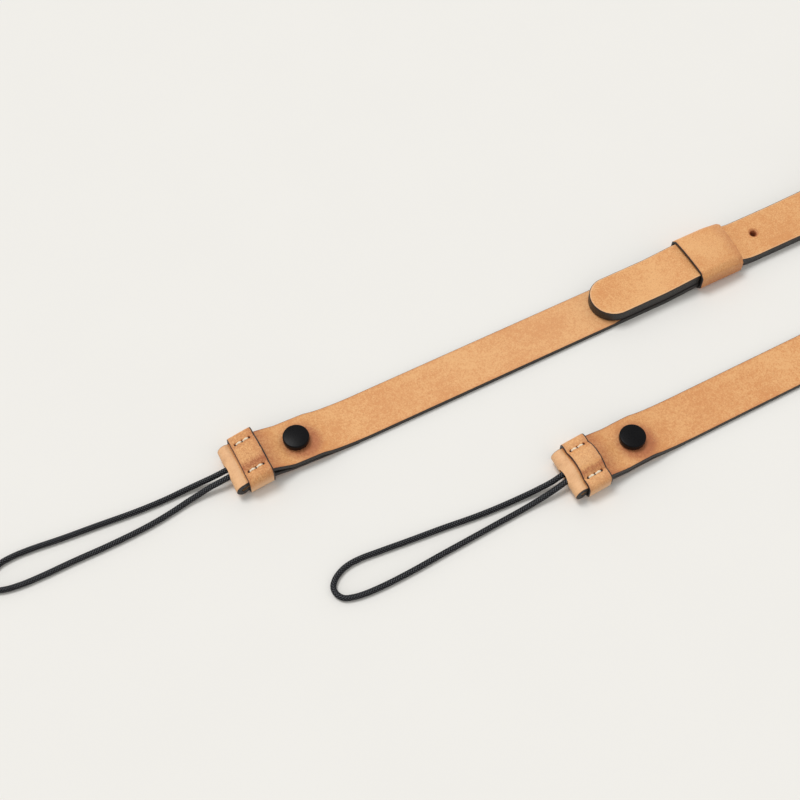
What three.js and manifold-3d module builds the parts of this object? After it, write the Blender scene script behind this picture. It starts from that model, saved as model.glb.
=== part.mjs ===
// Leather camera neck strap, lying on a table: a thick neck strap with a thin end strap at each end. Each end
// strap is folded over a cord loop, held by a stitched keeper and a stud. Millimetres, +Z up, table at Z = 0.
// X runs along the two legs, with the cord loops towards -X and the bend that goes round the neck towards +X.
// The long leg A lies at +Y and the short leg B at -Y. Distances along a leg are measured back from the tip
// of its fold. The last lines move the origin under the middle of the leather.
import * as THREE from "three";
import { mergeVertices } from "three/addons/utils/BufferGeometryUtils.js";
import Module from "manifold-3d";

// Straps
const END_WIDTH = 15.2;
const END_THICKNESS = 1.7;
const NECK_WIDTH = 14.8;
const NECK_THICKNESS = 3.6;
const LEG_SPACING = 46.1; // centre line to centre line
const LEG_STAGGER = 86.6; // how far the fold of end B lies behind the fold of end A
const LONG_LEG = 508; // fold of end A to the start of the bend
const CLEARANCE = 0.3; // between pieces that touch
const LAYER_GAP = 0.15; // between the two layers of one folded strap

// Fold, measured back from its tip
const FOLD_INNER_RADIUS = 0.75;
const FOLD_LIFT = 0.9; // underside of the fold above the table
const FOLD_FLAP = 31; // length of the lower layer
const FLAP_END_THICKNESS = 0.4; // the lower layer is pared thin towards its end
const FOLD_HOLE_WIDTH = 5.4;
const FOLD_HOLE_HEIGHT = 2.8;

// Stitched keeper of an end
const END_KEEPER_START = 3.9;
const END_KEEPER_LENGTH = 8;
const END_KEEPER_WALL = 0.9;
const END_KEEPER_LIFT = 0.5; // its front end above the table
const END_KEEPER_RISE = 0.2; // how much higher its rear end lies than its front end
const KEEPER_SIDE_GAP = 0.25;
const KEEPER_CORNER = 0.7; // inner radius of a keeper's corners

// Stud of an end
const STUD_CAP_RADIUS = 4;
const STUD_CAP_HEIGHT = 2.1;
const STUD_CAP_BEVEL = 0.3;
const STUD_POST_RADIUS = 1.5;
const STUD_BASE_RADIUS = 3.6;
const STUD_BASE_HEIGHT = 0.7;

// Cord
const CORD_DIAMETER = 1.8;
const CORD_STEPS = 38;
const CORD_SIDES = 8;
const KNOT_LENGTH = 6.2;
const KNOT_WIDTH = 6;

// Joint between an end strap and the neck strap, measured back from the fold's tip
const TONGUE_AT = 126.9;
const SLIDE_START = 162.8;
const SLIDE_LENGTH = 17;
const SLIDE_WALL = 1;
const SLIDE_SKEW = 0.09; // slant of its rear end
const SLIDE_GAP = 0.2; // between the layers inside it
const SLIDE_FALL = 1.7; // how much lower the neck strap lies at its rear end than at its front end
const ADJUST_STUD_AT = 168.9;
const END_STRAP_TAIL = 5; // past the hidden stud
const HOLE_SPACING = 21;
const OPEN_HOLES = 2;
const HOLE_ASIDE = 0.6; // the open holes lie off the middle
const HOLE_RADIUS = 1.1;
const ADJUST_POST_RADIUS = 0.8;
const ADJUST_HEAD_RADIUS = 2.2;
const ADJUST_BASE_RADIUS = 3;
const ADJUST_DISC = 0.6; // height of the head and of the base

// Neck strap's roll on to its edge
const ROLL_END = 308;
const BEND_STEPS = 16;

// Finishes
const LEATHER = { color: 0xe4ac76, roughness: 0.6, metalness: 0 };
const BLACK_METAL = { color: 0x1b1b1d, roughness: 0.35, metalness: 0.6 };
const CORD = { color: 0x1c1c20, roughness: 0.8, metalness: 0 };

// What differs between the two ends: the leg's side, the fold's place along the long leg, the stud's distance
// from the fold's tip, how far the upper layer gapes at its -Y edge, and how high the cord's knot pushes up
// the leather
const ENDS = [
  { name: "a", side: 1, ahead: 0, stud: 22.8, gape: 1.4, hump: 0.75 },
  { name: "b", side: -1, ahead: LEG_STAGGER, stud: 24.7, gape: 0, hump: 1.8 },
];

// How far each end lies to the side of its leg's straight line, and the turn of its crosswise lines in
// degrees
const SIDEWAYS = {
  a: [
    { at: 0, aside: -0.1, turn: -1.5 }, { at: 4, aside: 0.2, turn: -1 }, { at: 12, aside: 0.7, turn: 0.5 },
    { at: 18, aside: 0.6, turn: 0 }, { at: 30, aside: 0.15, turn: 0 }, { at: 42, aside: 0, turn: 0 },
  ],
  b: [
    { at: 0, aside: -1.8, turn: -2 }, { at: 4, aside: -1.5, turn: -1.5 },
    { at: 12, aside: -1.1, turn: -0.5 }, { at: 24, aside: -0.5, turn: 0 },
    { at: 39, aside: -0.35, turn: 0 }, { at: 61, aside: -0.2, turn: 0 }, { at: 95, aside: 0, turn: 0 },
  ],
};

// Routes of the cord loops: distance ahead of the fold's tip, distance from the leg's centre line, height
const CORD_ROUTES = {
  a: [
    [-2.3, 1, 3.3], [0, 0.95, 3.3], [2, 0.9, 3.1], [4.7, 1.05, 2.6], [7.3, 1.3, 2.1],
    [10, 1.55, 1.6], [14, 1.75, 1.1], [18, 1.7, 0.95], [24, 1.8, 0.95], [30, 2.15, 0.95],
    [40, 3.1, 0.95], [50, 3.95, 0.95], [60, 5.05, 0.95], [65, 5.25, 0.95], [68.5, 4.9, 0.95],
    [71.6, 3.8, 0.95], [73.9, 2.1, 0.95], [74.7, 0.1, 0.95], [73.7, -1.8, 0.95], [70.9, -3.3, 0.95],
    [66, -4.2, 0.95], [60, -4.45, 0.95], [50, -4.35, 0.95], [40, -4.45, 0.95], [30, -4.2, 0.95],
    [24, -3.7, 0.95], [19, -3, 0.95], [14, -2.15, 1.1], [10, -1.75, 1.6], [6, -1.55, 2.4],
    [3, -1.6, 2.95], [0, -1.55, 3.3], [-2.3, -1.5, 3.3],
  ],
  b: [
    [-2.3, -0.6, 3.3], [0, -0.9, 3.3], [3.5, -1.15, 2.6], [8.8, -0.95, 1.7],
    [13.8, -0.65, 1.1], [20.8, -0.35, 0.95], [28.8, 0.25, 0.95], [38.8, 1.45, 0.95], [48.8, 2.45, 0.95],
    [58.8, 3.55, 0.95], [63.8, 4.05, 0.95], [67.8, 3.95, 0.95], [70.8, 3.15, 0.95], [73.4, 1.65, 0.95],
    [75, -0.45, 0.95], [75, -2.75, 0.95], [73.7, -4.65, 0.95], [71.2, -5.65, 0.95], [67.8, -6.25, 0.95],
    [61.8, -6.55, 0.95], [52.8, -6.35, 0.95], [42.8, -5.75, 0.95], [32.8, -5.25, 0.95], [22.8, -4.7, 0.95],
    [15.8, -4.35, 1], [10.3, -4.1, 1.5], [5, -3.85, 2.45], [1.8, -3.55, 3.05], [0, -3.3, 3.3],
    [-2.3, -3, 3.3],
  ],
};

// Hump over the knot: share of its height at each share of the strap's half width
const HUMP_ACROSS = [
  { across: -1, lift: 0 }, { across: -0.66, lift: 0 },
  { across: -0.48, lift: 0.4 }, { across: -0.28, lift: 0.87 },
  { across: 0, lift: 1 },
  { across: 0.28, lift: 0.87 }, { across: 0.48, lift: 0.4 },
  { across: 0.66, lift: 0 }, { across: 1, lift: 0 },
];

// Places that follow from the sizes above
const END_HALF = END_WIDTH / 2;
const NECK_HALF = NECK_WIDTH / 2;
const FOLD_RADIUS = FOLD_INNER_RADIUS + END_THICKNESS;
const END_KEEPER_END = END_KEEPER_START + END_KEEPER_LENGTH;
const END_REST = END_KEEPER_LIFT + END_KEEPER_WALL + CLEARANCE; // underside of a strap in the end keeper
const SLIDE_END = SLIDE_START + SLIDE_LENGTH;
const SLIDE_REST = SLIDE_WALL + SLIDE_GAP;
const END_STRAP_END = ADJUST_STUD_AT + END_STRAP_TAIL;
const BEND_RADIUS = LEG_SPACING / 2;
const RAMP = 12; // length of a strap's rise into the slide keeper
const TONGUE_REST = END_THICKNESS + CLEARANCE;
const NECK_IN_SLIDE = SLIDE_REST + END_THICKNESS + SLIDE_GAP;
const ON_BASE = STUD_BASE_HEIGHT + 0.1; // underside of the lower layer at the stud
const PARED = 0.6 * END_THICKNESS; // its thickness there
const ON_LOWER = ON_BASE + PARED + LAYER_GAP;
const STACK = ON_LOWER + END_THICKNESS; // top of the upper layer at the stud
const ON_FLAP = END_REST + END_THICKNESS + LAYER_GAP; // underside of the upper layer in the end keeper
const FLAT_START = 18.7; // stretch on the stud's base
const FLAT_END = 28.4;

// Underside of the upper layer of an end strap, and the shares of the gape and of the hump there
const UPPER_ROWS = [
  { at: FOLD_RADIUS, under: FOLD_LIFT + END_THICKNESS + 2 * FOLD_INNER_RADIUS, gape: 0, hump: 0 },
  { at: END_KEEPER_START, under: ON_FLAP, gape: 0.6, hump: 0.85 },
  { at: END_KEEPER_START + END_KEEPER_LENGTH / 2, under: ON_FLAP + 0.1, gape: 0.8, hump: 1 },
  { at: END_KEEPER_END, under: ON_FLAP + END_KEEPER_RISE, gape: 1, hump: 0.95 },
  { at: FLAT_START, under: ON_LOWER, gape: 0, hump: 0 },
  { at: FLAT_END, under: ON_LOWER, gape: 0, hump: 0 },
  { at: FOLD_FLAP, under: 0.65 * END_THICKNESS, gape: 0, hump: 0 },
  { at: FOLD_FLAP + 3, under: 0.35 * END_THICKNESS, gape: 0, hump: 0 },
  { at: FOLD_FLAP + 8, under: 0.1 * END_THICKNESS, gape: 0, hump: 0 },
  { at: FOLD_FLAP + 13, under: 0, gape: 0, hump: 0 },
  { at: SLIDE_START - RAMP, under: 0, gape: 0, hump: 0 },
  { at: SLIDE_START - 1, under: SLIDE_REST, gape: 0, hump: 0 },
  { at: END_STRAP_END, under: SLIDE_REST, gape: 0, hump: 0 },
];

// Underside and thickness of the lower layer, which lies on the stud's base
const LOWER_ROWS = [
  { at: FOLD_RADIUS, under: FOLD_LIFT, thick: END_THICKNESS },
  { at: END_KEEPER_START, under: END_REST, thick: END_THICKNESS },
  { at: END_KEEPER_END, under: END_REST + END_KEEPER_RISE, thick: END_THICKNESS },
  { at: FLAT_START, under: ON_BASE, thick: PARED },
  { at: FLAT_END, under: ON_BASE, thick: PARED },
  { at: FOLD_FLAP, under: 0.1, thick: FLAP_END_THICKNESS },
];

// Underside of the neck strap, from the tongue's tip to where it rests on the table
const NECK_ROWS = [
  { at: TONGUE_AT, under: TONGUE_REST },
  { at: SLIDE_START - RAMP, under: TONGUE_REST },
  { at: SLIDE_START - 1, under: NECK_IN_SLIDE },
  { at: END_STRAP_END + 0.5, under: NECK_IN_SLIDE },
  { at: SLIDE_END, under: NECK_IN_SLIDE - SLIDE_FALL },
  { at: SLIDE_END + 3, under: 0.1 * NECK_IN_SLIDE },
  { at: SLIDE_END + 6, under: 0 },
];

// Its roll on to its edge, in degrees: a slight one behind the slide keeper, and then a whole quarter turn
const ROLL_ROWS = [
  { at: END_STRAP_END + 0.5, roll: 0 }, { at: SLIDE_END, roll: 2.5 }, { at: SLIDE_END + 5, roll: 5 },
  { at: SLIDE_END + 22, roll: 5 }, { at: 214, roll: 8 }, { at: 228, roll: 15 }, { at: 242, roll: 27 },
  { at: 256, roll: 43 }, { at: 268, roll: 58 }, { at: 280, roll: 71 }, { at: 292, roll: 82 },
  { at: ROLL_END, roll: 90 },
];

const wasm = await Module();
wasm.setup();

function toSolid(geometry) {
  const bare = geometry.clone();
  bare.deleteAttribute("normal");
  bare.deleteAttribute("uv");
  const merged = mergeVertices(bare, 1e-4);
  return new wasm.Manifold(
    new wasm.Mesh({
      numProp: 3,
      vertProperties: new Float32Array(merged.attributes.position.array),
      triVerts: new Uint32Array(merged.index.array),
    }),
  );
}

function toGeometry(solid) {
  const made = solid.getMesh();
  const geometry = new THREE.BufferGeometry();
  geometry.setAttribute("position", new THREE.BufferAttribute(made.vertProperties, 3));
  geometry.setIndex(new THREE.BufferAttribute(made.triVerts, 1));
  return geometry;
}

function cut(geometry, tools) {
  return toGeometry(tools.reduce((solid, tool) => solid.subtract(toSolid(tool)), toSolid(geometry)));
}

// A wall of leather between two surfaces. Each station holds one row of points on the outer surface and one
// on the inner surface. A closed wall joins its last station to its first, and an open one is capped.
function wall(stations, closed) {
  const across = stations[0].outer.length;
  const points = stations.flatMap((station) => [...station.outer, ...station.inner]);
  const outer = (i, j) => (i % stations.length) * 2 * across + j;
  const inner = (i, j) => outer(i, j) + across;
  const faces = [];
  const quad = (a, b, c, d) => faces.push(a, b, c, a, c, d);
  const steps = closed ? stations.length : stations.length - 1;
  for (let i = 0; i < steps; i++) {
    for (let j = 0; j + 1 < across; j++) {
      quad(outer(i, j), outer(i + 1, j), outer(i + 1, j + 1), outer(i, j + 1));
      quad(inner(i, j), inner(i, j + 1), inner(i + 1, j + 1), inner(i + 1, j));
    }
    quad(outer(i, 0), inner(i, 0), inner(i + 1, 0), outer(i + 1, 0));
    const last = across - 1;
    quad(outer(i, last), outer(i + 1, last), inner(i + 1, last), inner(i, last));
  }
  if (!closed) {
    const end = stations.length - 1;
    for (let j = 0; j + 1 < across; j++) {
      quad(outer(0, j), outer(0, j + 1), inner(0, j + 1), inner(0, j));
      quad(outer(end, j), inner(end, j), inner(end, j + 1), outer(end, j + 1));
    }
  }
  const geometry = new THREE.BufferGeometry();
  const places = points.flatMap((point) => point.toArray());
  geometry.setAttribute("position", new THREE.Float32BufferAttribute(places, 3));
  geometry.setIndex(faces);
  return geometry;
}

// A value between the rows of a table, along its column of distances
function between(rows, at, column) {
  const next = rows.findIndex((row) => row.at > at);
  if (next === 0) return rows[0][column];
  if (next < 0) return rows[rows.length - 1][column];
  const [before, after] = [rows[next - 1], rows[next]];
  return before[column] + ((after[column] - before[column]) * (at - before.at)) / (after.at - before.at);
}

// Place on a leg at a distance from the fold's tip
function onLeg(end, at) {
  const rows = SIDEWAYS[end.name];
  return {
    x: end.ahead + at,
    y: end.side * BEND_RADIUS + between(rows, at, "aside"),
    turn: THREE.MathUtils.degToRad(between(rows, at, "turn")),
  };
}

// Height of the underside of an end's upper layer, at a share of the strap's half width to the side. The layer
// leans: it gapes at its -Y edge and lies close at its +Y edge.
function upperUnder(end, at, share) {
  const lean = (1 - share) / 2;
  return between(UPPER_ROWS, at, "under") + lean * end.gape * between(UPPER_ROWS, at, "gape");
}

function across(end, at, aside, height) {
  const place = onLeg(end, at);
  return new THREE.Vector3(
    place.x - aside * Math.sin(place.turn),
    place.y + aside * Math.cos(place.turn),
    height,
  );
}

function discAt(radius, bottom, top, sides = 24) {
  const disc = new THREE.CylinderGeometry(radius, radius, top - bottom, sides);
  return disc.rotateX(Math.PI / 2).translate(0, 0, (bottom + top) / 2);
}

function placed(geometry, end, at) {
  const place = onLeg(end, at);
  return geometry.rotateZ(place.turn).translate(place.x, place.y, 0);
}

// Folded end strap: the lower layer from its free end to the fold, round the fold, and back along the upper
// layer
function endStrap(end) {
  const line = (at, height) =>
    HUMP_ACROSS.map((c) => across(end, at, c.across * END_HALF, height(c)));
  const upper = UPPER_ROWS.map(({ at, hump }) => {
    const under = (c) => upperUnder(end, at, c.across) + hump * end.hump * c.lift;
    return { outer: line(at, (c) => under(c) + END_THICKNESS), inner: line(at, under) };
  });
  const lower = [...LOWER_ROWS].reverse().map(({ at, under, thick }) => ({
    outer: line(at, () => under),
    inner: line(at, () => under + thick),
  }));
  const noseSteps = 8;
  const middle = FOLD_LIFT + FOLD_RADIUS;
  const nose = [];
  for (let i = 1; i < noseSteps; i++) {
    const angle = (Math.PI * i) / noseSteps;
    const point = (radius) => ({
      at: FOLD_RADIUS - radius * Math.sin(angle),
      height: middle - radius * Math.cos(angle),
    });
    const [o, n] = [point(FOLD_RADIUS), point(FOLD_INNER_RADIUS)];
    nose.push({ outer: line(o.at, () => o.height), inner: line(n.at, () => n.height) });
  }
  const slot = discAt(1, -FOLD_RADIUS, FOLD_RADIUS + CLEARANCE)
    .rotateY(Math.PI / 2)
    .scale(1, FOLD_HOLE_WIDTH / 2, FOLD_HOLE_HEIGHT / 2)
    .translate(0, 0, middle);
  const studHole = discAt(STUD_POST_RADIUS + CLEARANCE, -1, STACK + 1);
  const adjustHole = discAt(HOLE_RADIUS, 0, NECK_IN_SLIDE);
  const adjustSeat = discAt(
    ADJUST_BASE_RADIUS + CLEARANCE, 0, SLIDE_REST + ADJUST_DISC + CLEARANCE);
  return cut(wall([...lower, ...nose, ...upper], false), [
    placed(slot, end, 0),
    placed(studHole, end, end.stud),
    placed(adjustHole, end, ADJUST_STUD_AT),
    placed(adjustSeat, end, ADJUST_STUD_AT),
  ]);
}

// A keeper's section as a ring of points from the middle of its underside round to the same place. Each point
// has its place across and its height, and the top's points carry the hump's share. The inner ring lies
// one wall inside the outer ring.
function keeperRing({ low, high, hump }, wallThickness, inside) {
  const inset = inside ? wallThickness : 0;
  const corner = KEEPER_CORNER + wallThickness - inset;
  const side = END_HALF + KEEPER_SIDE_GAP + wallThickness - inset;
  const [floor, roof] = [low + inset, high - inset];
  const ring = [{ y: 0, z: floor }];
  const arc = (cy, cz, from) => {
    for (let i = 0; i <= 3; i++) {
      const angle = from + (Math.PI / 2) * (i / 3);
      ring.push({ y: cy + corner * Math.cos(angle), z: cz + corner * Math.sin(angle) });
    }
  };
  arc(side - corner, floor + corner, -Math.PI / 2);
  arc(side - corner, roof - corner, 0);
  const crown = HUMP_ACROSS.filter((c) => Math.abs(c.across) < 1).reverse();
  crown.forEach((c) => ring.push({ y: c.across * END_HALF, z: roof + hump * c.lift }));
  arc(-side + corner, roof - corner, Math.PI / 2);
  arc(-side + corner, floor + corner, Math.PI);
  return ring;
}

// A keeper with one section for each of its sizes along the strap
function keeper(end, sizes, wallThickness) {
  const rings = (inside) => sizes.map((size) => keeperRing(size, wallThickness, inside));
  const [outer, inner] = [rings(false), rings(true)];
  const line = (set, i) =>
    set.map((ring, k) => across(end, sizes[k].at + sizes[k].skew * ring[i].y, ring[i].y, ring[i].z));
  return wall(outer[0].map((_, i) => ({ outer: line(outer, i), inner: line(inner, i) })), true);
}

function endKeeper(end) {
  const sizes = [0, 0.5, 1].map((share) => {
    const at = END_KEEPER_START + share * END_KEEPER_LENGTH;
    return {
      at,
      low: END_KEEPER_LIFT + share * END_KEEPER_RISE,
      high: upperUnder(end, at, -1) + END_THICKNESS + CLEARANCE + END_KEEPER_WALL,
      hump: end.hump * between(UPPER_ROWS, at, "hump"),
      skew: 0,
    };
  });
  return keeper(end, sizes, END_KEEPER_WALL);
}

// Height of the neck strap's higher edge
function neckTop(at) {
  return between(NECK_ROWS, at, "under") + NECK_WIDTH * Math.sin(rollAt(at)) + NECK_THICKNESS;
}

function slideKeeper(end) {
  const sizes = [SLIDE_START, END_STRAP_END + 0.5, SLIDE_END].map((at) => ({
    at,
    low: 0,
    high: neckTop(at) + SLIDE_GAP + SLIDE_WALL,
    hump: 0,
    skew: at === SLIDE_END ? SLIDE_SKEW : 0,
  }));
  return keeper(end, sizes, SLIDE_WALL);
}

function turned(profile, sides) {
  const points = profile.map(([radius, height]) => new THREE.Vector2(radius, height));
  return new THREE.LatheGeometry(points, sides).rotateX(Math.PI / 2);
}

function stud(end) {
  const capBottom = STACK + CLEARANCE;
  const capTop = capBottom + STUD_CAP_HEIGHT;
  const profile = [
    [0, 0], [STUD_BASE_RADIUS, 0], [STUD_BASE_RADIUS, STUD_BASE_HEIGHT],
    [STUD_POST_RADIUS, STUD_BASE_HEIGHT], [STUD_POST_RADIUS, capBottom],
    [STUD_CAP_RADIUS - STUD_CAP_BEVEL, capBottom],
    [STUD_CAP_RADIUS, capBottom + STUD_CAP_BEVEL], [STUD_CAP_RADIUS, capTop - STUD_CAP_BEVEL],
    [STUD_CAP_RADIUS - STUD_CAP_BEVEL, capTop], [0, capTop],
  ];
  return placed(turned(profile, 32), end, end.stud);
}

function adjustStud(end) {
  const bottom = SLIDE_REST;
  const top = NECK_IN_SLIDE + NECK_THICKNESS;
  const profile = [
    [0, bottom], [ADJUST_BASE_RADIUS, bottom], [ADJUST_BASE_RADIUS, bottom + ADJUST_DISC],
    [ADJUST_POST_RADIUS, bottom + ADJUST_DISC], [ADJUST_POST_RADIUS, top - ADJUST_DISC],
    [ADJUST_HEAD_RADIUS, top - ADJUST_DISC], [ADJUST_HEAD_RADIUS, top], [0, top],
  ];
  return placed(turned(profile, 20), end, ADJUST_STUD_AT);
}

// Flattened stopper between the two layers, behind the fold's hole
function cordKnot(end) {
  const start = FOLD_RADIUS + CLEARANCE;
  const middle = start + KNOT_LENGTH / 2;
  const floor = END_REST + END_THICKNESS + CLEARANCE;
  const ceiling = upperUnder(end, middle, 0.3) + 0.65 * end.hump - CLEARANCE;
  const knot = new THREE.SphereGeometry(1, 16, 10)
    .rotateX(Math.PI / 2)
    .scale(KNOT_LENGTH / 2, KNOT_WIDTH / 2, (ceiling - floor) / 2)
    .translate(0, 0, (ceiling + floor) / 2);
  return placed(knot, end, middle);
}

function cordLoop(end) {
  const tip = onLeg(end, 0);
  const points = CORD_ROUTES[end.name].map(
    ([ahead, aside, height]) => new THREE.Vector3(tip.x - ahead, end.side * BEND_RADIUS + aside, height),
  );
  const section = new THREE.Shape();
  for (let i = 0; i < CORD_SIDES; i++) {
    const angle = ((i + 0.5) * 2 * Math.PI) / CORD_SIDES;
    const [x, y] = [(CORD_DIAMETER / 2) * Math.cos(angle), (CORD_DIAMETER / 2) * Math.sin(angle)];
    if (i === 0) section.moveTo(x, y);
    else section.lineTo(x, y);
  }
  section.closePath();
  return new THREE.ExtrudeGeometry(section, {
    steps: CORD_STEPS,
    extrudePath: new THREE.CatmullRomCurve3(points, false, "centripetal"),
  });
}

// One section of the neck strap: place and heading of its centre line, how far it has rolled on to its edge,
// and the height of its lowest edge
function neckSection(place, heading, roll, lift, halfWidth) {
  const left = new THREE.Vector3(-heading.y, heading.x, 0);
  const up = new THREE.Vector3(0, 0, 1);
  const side = left.clone().multiplyScalar(Math.cos(roll)).addScaledVector(up, Math.sin(roll));
  const normal = left.clone().multiplyScalar(-Math.sin(roll)).addScaledVector(up, Math.cos(roll));
  const height = lift + NECK_HALF * Math.sin(roll) + (NECK_THICKNESS / 2) * Math.cos(roll);
  const centre = new THREE.Vector3(place.x, place.y, height);
  const point = (share, face) => centre.clone()
    .addScaledVector(side, share * halfWidth)
    .addScaledVector(normal, (face * NECK_THICKNESS) / 2);
  const shares = [-1, 0, 1];
  return {
    outer: shares.map((share) => point(share, 1)),
    inner: shares.map((share) => point(share, -1)),
    centre,
    normal,
  };
}

function rollAt(at) {
  return THREE.MathUtils.degToRad(between(ROLL_ROWS, at, "roll"));
}

function legSection(end, at) {
  const fromTip = at - TONGUE_AT;
  const inset = NECK_HALF - Math.min(fromTip, NECK_HALF);
  const halfWidth = Math.sqrt(NECK_HALF * NECK_HALF - inset * inset);
  const heading = new THREE.Vector3(end.side, 0, 0);
  return neckSection(onLeg(end, at), heading, rollAt(at), between(NECK_ROWS, at, "under"), halfWidth);
}

// Distances from the fold's tip at which the neck strap's leg has a section
function legStations(end) {
  const tip = [0.02, 0.1, 0.25, 0.45, 0.7, 1].map((share) => TONGUE_AT + share * NECK_HALF);
  const rows = [...NECK_ROWS.slice(1), ...ROLL_ROWS].map((row) => row.at);
  const all = [...tip, ...rows, LONG_LEG - end.ahead].sort((p, q) => p - q);
  return all.filter((at, i) => i === 0 || at - all[i - 1] > 0.05);
}

function neckStrap() {
  const [longEnd, shortEnd] = ENDS;
  const stations = legStations(longEnd).map((at) => legSection(longEnd, at));
  for (let i = 1; i < BEND_STEPS; i++) {
    const angle = Math.PI / 2 - (Math.PI * i) / BEND_STEPS;
    const place = { x: LONG_LEG + BEND_RADIUS * Math.cos(angle), y: BEND_RADIUS * Math.sin(angle) };
    const heading = new THREE.Vector3(Math.sin(angle), -Math.cos(angle), 0);
    stations.push(neckSection(place, heading, Math.PI / 2, 0, NECK_HALF));
  }
  stations.push(...legStations(shortEnd).reverse().map((at) => legSection(shortEnd, at)));
  return cut(wall(stations, false), ENDS.flatMap((end) => neckCuts(end)));
}

function neckCuts(end) {
  const seatTop = NECK_IN_SLIDE + NECK_THICKNESS;
  const seat = discAt(ADJUST_HEAD_RADIUS + CLEARANCE, seatTop - ADJUST_DISC - CLEARANCE, seatTop + 1, 20);
  const tools = [placed(seat, end, ADJUST_STUD_AT)];
  const up = new THREE.Vector3(0, 0, 1);
  for (let i = 0; i <= OPEN_HOLES; i++) {
    const { centre, normal } = legSection(end, ADJUST_STUD_AT + i * HOLE_SPACING);
    const aside = i > 0 ? HOLE_ASIDE : 0;
    const hole = discAt(HOLE_RADIUS, -2 * NECK_THICKNESS, 2 * NECK_THICKNESS, 16);
    hole.applyQuaternion(new THREE.Quaternion().setFromUnitVectors(up, normal));
    tools.push(hole.translate(centre.x, centre.y + aside, centre.z));
  }
  return tools;
}

const strap = new THREE.Group();

function add(name, geometry, finish) {
  const mesh = new THREE.Mesh(geometry, new THREE.MeshStandardMaterial(finish));
  mesh.name = name;
  mesh.userData.finish = finish;
  strap.add(mesh);
}

add("neck_strap", neckStrap(), LEATHER);
for (const end of ENDS) {
  add("end_strap_" + end.name, endStrap(end), LEATHER);
  add("end_keeper_" + end.name, endKeeper(end), LEATHER);
  add("slide_keeper_" + end.name, slideKeeper(end), LEATHER);
  add("stud_" + end.name, stud(end), BLACK_METAL);
  add("adjust_stud_" + end.name, adjustStud(end), BLACK_METAL);
  add("cord_loop_" + end.name, cordLoop(end), CORD);
  add("cord_knot_" + end.name, cordKnot(end), CORD);
}

const leather = new THREE.Box3();
for (const mesh of strap.children) {
  if (mesh.userData.finish === LEATHER) leather.expandByObject(mesh);
}
const middle = leather.getCenter(new THREE.Vector3());
strap.children.forEach((mesh) => mesh.geometry.translate(-middle.x, -middle.y, 0));

export default strap;
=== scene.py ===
import math

import bmesh
import bpy
from bpy.props import FloatProperty, FloatVectorProperty, IntProperty, PointerProperty
from mathutils import Matrix, Vector


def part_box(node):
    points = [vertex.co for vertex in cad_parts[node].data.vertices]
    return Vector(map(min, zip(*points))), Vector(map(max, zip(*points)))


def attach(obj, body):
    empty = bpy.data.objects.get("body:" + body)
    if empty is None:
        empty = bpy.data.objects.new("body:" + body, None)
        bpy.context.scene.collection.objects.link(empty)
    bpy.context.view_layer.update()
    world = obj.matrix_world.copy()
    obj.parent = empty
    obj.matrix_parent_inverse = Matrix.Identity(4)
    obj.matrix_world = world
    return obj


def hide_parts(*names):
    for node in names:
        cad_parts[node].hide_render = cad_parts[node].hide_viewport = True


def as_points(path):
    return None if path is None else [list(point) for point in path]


bl_info = {
    "name": "Camera neck strap",
    "version": (1, 0, 0),
    "blender": (4, 5, 0),
    "location": "View3D > Sidebar > Strap",
    "description": "Dresses the frame of a leather camera neck strap with leather, thread, studs and cord",
    "category": "Object",
}

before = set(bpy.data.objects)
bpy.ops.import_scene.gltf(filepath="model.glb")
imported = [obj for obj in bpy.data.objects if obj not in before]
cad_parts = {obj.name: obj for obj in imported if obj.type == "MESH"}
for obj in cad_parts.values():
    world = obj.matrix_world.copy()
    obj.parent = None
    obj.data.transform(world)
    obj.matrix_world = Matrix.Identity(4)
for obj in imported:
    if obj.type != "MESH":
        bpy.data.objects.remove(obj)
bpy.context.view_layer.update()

MM = 0.001

# Millimetres in the frame, measured back from the tip of each end's fold, as in the solids
END_WIDTH = 15.2
END_HALF = END_WIDTH / 2
END_THICKNESS = 1.7
NECK_WIDTH = 14.8
NECK_HALF = NECK_WIDTH / 2
NECK_THICKNESS = 3.6
CLEARANCE = 0.3
LAYER_GAP = 0.15
FOLD_INNER = 0.75
FOLD_OUTER = FOLD_INNER + END_THICKNESS
FOLD_LIFT = 0.9
FOLD_MIDDLE = FOLD_LIFT + FOLD_OUTER
FOLD_FLAP = 31.0
FLAP_END = 40.0  # pared thinner here than a solid wall can be
KEEPER_START = 3.9
KEEPER_END = 11.9
KEEPER_WALL = 0.9
KEEPER_LIFT = 0.5
KEEPER_RISE = 0.2
KEEPER_CORNER = 0.9
BAND_GAP = 0.1  # between the two ends of a keeper's band
SIDE_GAP = 0.25
TONGUE_AT = 126.9
SLIDE_START = 162.8
SLIDE_END = 179.8
SLIDE_SKEW = 0.09
SLIDE_WALL = 1.0
SLIDE_GAP = 0.2
SLIDE_FALL = 1.7
ADJUST_AT = 168.9
END_STRAP_END = 173.9
HOLE_SPACING = 21.0
OPEN_HOLES = 2
HOLE_ASIDE = 0.6
LONG_LEG = 508.0
LEG_STAGGER = 86.6
BEND_RADIUS = 23.05
HUMP_HALF = 4.95

# Sizes that the solids don't have
HOLE_WINDOW = 2.8  # half the side of the window that a stud's hole is made in
CORD_WINDOW = 3.5
SEAT_WINDOW = 4.2
STITCH_WINDOW = 0.8
STITCH_HOLES = (-2.5, -0.2, 2.1)  # from the keeper's middle, along the strap
STITCH_LINE = 5.0  # from the strap's middle
THREAD_RADIUS = 0.23
CORD_LYING = 0.95  # height of a cord's middle where it lies on the table
CORD_STEP = 0.16
CORD_SIDES = 32
END_ARRIS = 0.2
KEEPER_ARRIS = 0.22
SLIDE_ARRIS = 0.25

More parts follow.
